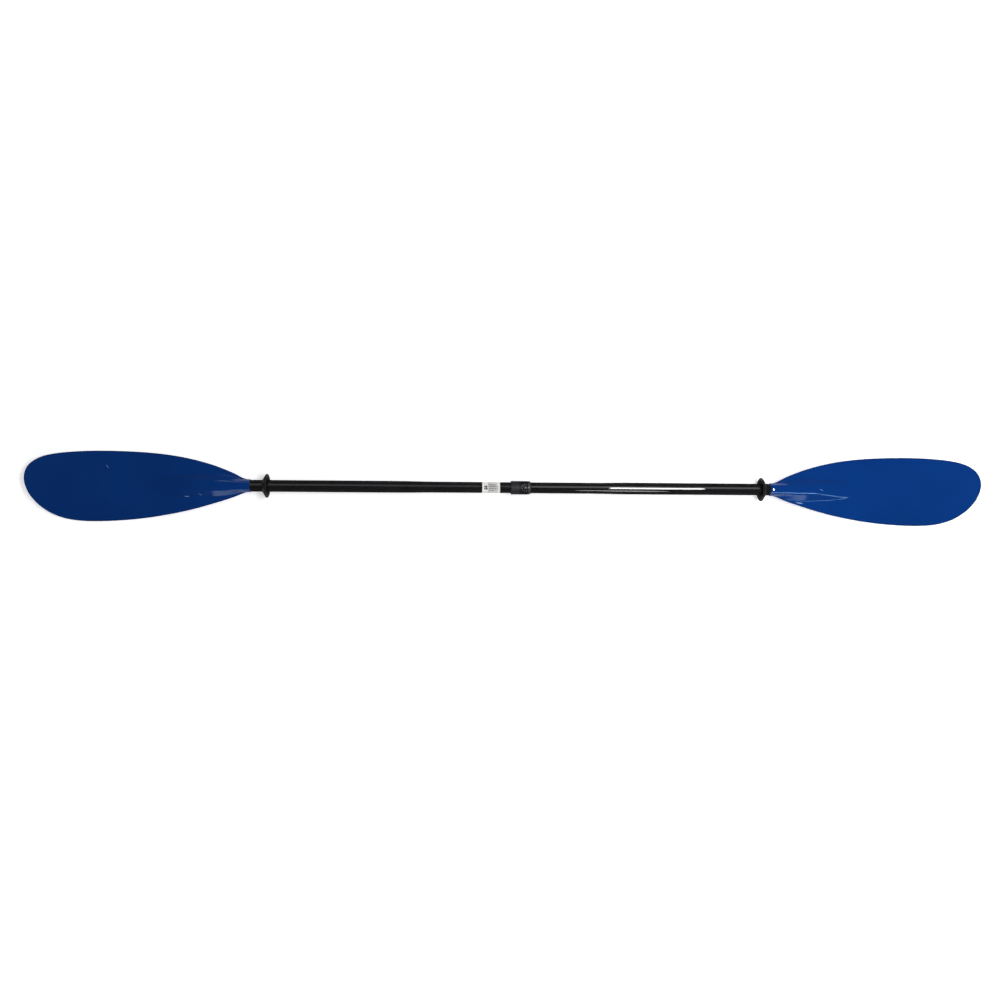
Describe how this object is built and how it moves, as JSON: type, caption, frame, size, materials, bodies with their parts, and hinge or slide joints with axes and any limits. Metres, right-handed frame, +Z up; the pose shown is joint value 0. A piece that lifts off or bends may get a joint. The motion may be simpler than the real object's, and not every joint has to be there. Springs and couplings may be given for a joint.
{
  "type": "kayak paddle",
  "caption": "Kayak paddle with long-edged moulded blades on a straight shaft that comes apart at a push-button collar, with rubber drip rings that slide along it.",
  "frame": {"origin": "on the floor that the paddle lies on, under the middle of the shaft", "axes": "+X along the shaft towards the right blade, +Y towards the blades' longer edges, +Z up, out of the power faces"},
  "size_m": [2.3, 0.1681, 0.057],
  "materials": {
    "blade_plastic": "moulded, glossy",
    "shaft_laminate": "smooth lacquer",
    "collar_plastic": "fine moulded grain",
    "spigot_laminate": "ground smooth",
    "stopper_rubber": "matte",
    "button_plastic": "moulded",
    "spring_steel": "rolled",
    "plug_foam": "closed-cell foam",
    "ring_rubber": "matte",
    "rivet_metal": "polished head",
    "label_film": "laminated film"
  },
  "bodies": {
    "left_half": {"left_blade": "blade_plastic", "left_rivet": "rivet_metal", "left_shaft": "shaft_laminate", "ferrule_collar": "collar_plastic", "left_foam_plug": "plug_foam", "shaft_label": "label_film"},
    "feather_index": {"index_ring": "collar_plastic"},
    "right_half": {"right_blade": "blade_plastic", "right_rivet": "rivet_metal", "right_shaft": "shaft_laminate", "male_spigot": "spigot_laminate", "spigot_plug": "stopper_rubber", "right_foam_plug": "plug_foam", "button_spring": "spring_steel"},
    "button": {"snap_button": "button_plastic"},
    "left_ring": {"left_drip_ring": "ring_rubber"},
    "right_ring": {"right_drip_ring": "ring_rubber"}
  },
  "joints": [
    {"name": "feather_twist", "type": "hinge", "parent": "left_half", "child": "feather_index", "pos_m": [0.0357, 0, 0.0285], "axis": [1, 0, 0], "range_deg": [-60, 60], "deforming": ["snap_button"]},
    {"name": "pull_apart", "type": "slide", "parent": "feather_index", "child": "right_half", "axis": [1, 0, 0], "range_m": [0, 0.25], "deforming": ["snap_button"]},
    {"name": "button_press", "type": "slide", "parent": "right_half", "child": "button", "axis": [0, 0, -1], "range_m": [0, 0.0047], "stiffness_N_per_m": 1500, "springref_m": -0.003, "deforming": ["button_spring"]},
    {"name": "left_ring_slide", "type": "slide", "parent": "left_half", "child": "left_ring", "axis": [1, 0, 0], "range_m": [-0.027, 0.15]},
    {"name": "right_ring_slide", "type": "slide", "parent": "right_half", "child": "right_ring", "axis": [-1, 0, 0], "range_m": [-0.01, 0.15]}
  ]
}
